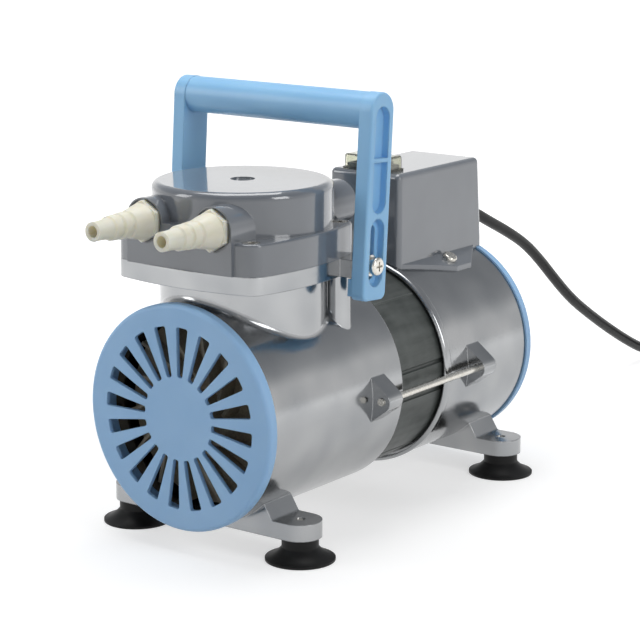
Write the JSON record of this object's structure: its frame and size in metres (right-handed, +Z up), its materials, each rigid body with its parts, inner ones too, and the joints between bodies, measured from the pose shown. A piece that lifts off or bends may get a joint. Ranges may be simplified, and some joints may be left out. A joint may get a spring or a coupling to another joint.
{
  "type": "diaphragm vacuum pump",
  "caption": "Bench diaphragm vacuum pump with motor barrel, hose nozzles, rocker switch, sliding carry handle and suction feet.",
  "frame": {"origin": "on the floor under the middle of the pump's own box, without the mains lead", "axes": "+Z up, -Y towards the hose nozzles and the front grille, +X to the right seen from the nozzles' end looking along +Y"},
  "size_m": [0.1663, 0.6689, 0.2367],
  "materials": {
    "cast_aluminium": "polished die casting",
    "machined_aluminium": "machined",
    "blue_grille": "satin moulded",
    "blue_handle": "satin moulded",
    "stator_steel": "varnished laminations",
    "copper_winding": "enamelled copper wire under varnish",
    "bearing_steel": "ground",
    "spring_steel": "rolled",
    "plated_steel": "nickel plated",
    "machined_iron": "machined",
    "grey_paint": "semi-gloss stove enamel",
    "rubber": "moulded",
    "foot_rubber": "moulded, smooth",
    "natural_nylon": "moulded, undyed",
    "fan_plastic": "moulded",
    "capacitor_case": "moulded",
    "black_plastic": "moulded",
    "clear_cap": "clear flexible vinyl",
    "cord_rubber": "smooth sheath"
  },
  "bodies": {
    "pump_body": {"front_housing": "cast_aluminium", "rear_housing": "cast_aluminium", "front_cover": "blue_grille", "rear_cover": "blue_grille", "stator_core": "stator_steel", "stator_windings": "copper_winding", "front_bearing": "bearing_steel", "rear_bearing": "bearing_steel", "tie_bolts": "plated_steel", "head_cover": "grey_paint", "head_screws": "plated_steel", "diaphragm": "rubber", "valve_plate": "machined_aluminium", "head_gasket": "rubber", "inlet_reed": "spring_steel", "outlet_reed": "spring_steel", "reed_rivets": "plated_steel", "inlet_nozzle": "natural_nylon", "outlet_nozzle": "natural_nylon", "nozzle_o_rings": "rubber", "front_left_foot": "foot_rubber", "front_right_foot": "foot_rubber", "rear_left_foot": "foot_rubber", "rear_right_foot": "foot_rubber", "foot_screws": "plated_steel", "handle_screws": "plated_steel", "handle_washers": "plated_steel", "terminal_box": "grey_paint", "terminal_box_screws": "plated_steel", "run_capacitor": "capacitor_case", "terminal_block": "natural_nylon", "switch_housing": "black_plastic", "switch_cover": "clear_cap", "cable_gland": "cord_rubber", "power_cord": "cord_rubber", "cord_coil": "cord_rubber", "mains_plug": "cord_rubber", "plug_pins": "plated_steel"},
    "rotor": {"motor_shaft": "bearing_steel", "rotor_core": "stator_steel", "front_fan": "fan_plastic", "rear_fan": "fan_plastic", "eccentric": "bearing_steel", "counterweight": "machined_iron"},
    "rod": {"rod_bearing": "bearing_steel", "connecting_rod": "machined_aluminium", "lower_clamp_disc": "machined_aluminium", "upper_clamp_disc": "machined_aluminium", "clamp_screw": "plated_steel"},
    "handle": {"carry_handle": "blue_handle"},
    "rocker": {"switch_rocker": "black_plastic"}
  },
  "joints": [
    {"name": "shaft_spin", "type": "hinge", "parent": "pump_body", "child": "rotor", "pos_m": [0, 0, 0.0723], "axis": [0, 1, 0], "continuous": true, "deforming": ["diaphragm"]},
    {"name": "rod_swing", "type": "hinge", "parent": "rotor", "child": "rod", "pos_m": [0, -0.05165, 0.0753], "axis": [0, 1, 0], "continuous": true},
    {"name": "handle_slide", "type": "slide", "parent": "pump_body", "child": "handle", "axis": [0, 0.0729, 0.9973], "range_m": [-0.017, 0]},
    {"name": "switch_tilt", "type": "hinge", "parent": "pump_body", "child": "rocker", "pos_m": [0, 0.066, 0.182], "axis": [0, 1, 0], "range_deg": [0, 14]}
  ],
  "couplings": [
    {"joint": "rod_swing", "follows": "shaft_spin", "ratio": -1}
  ]
}
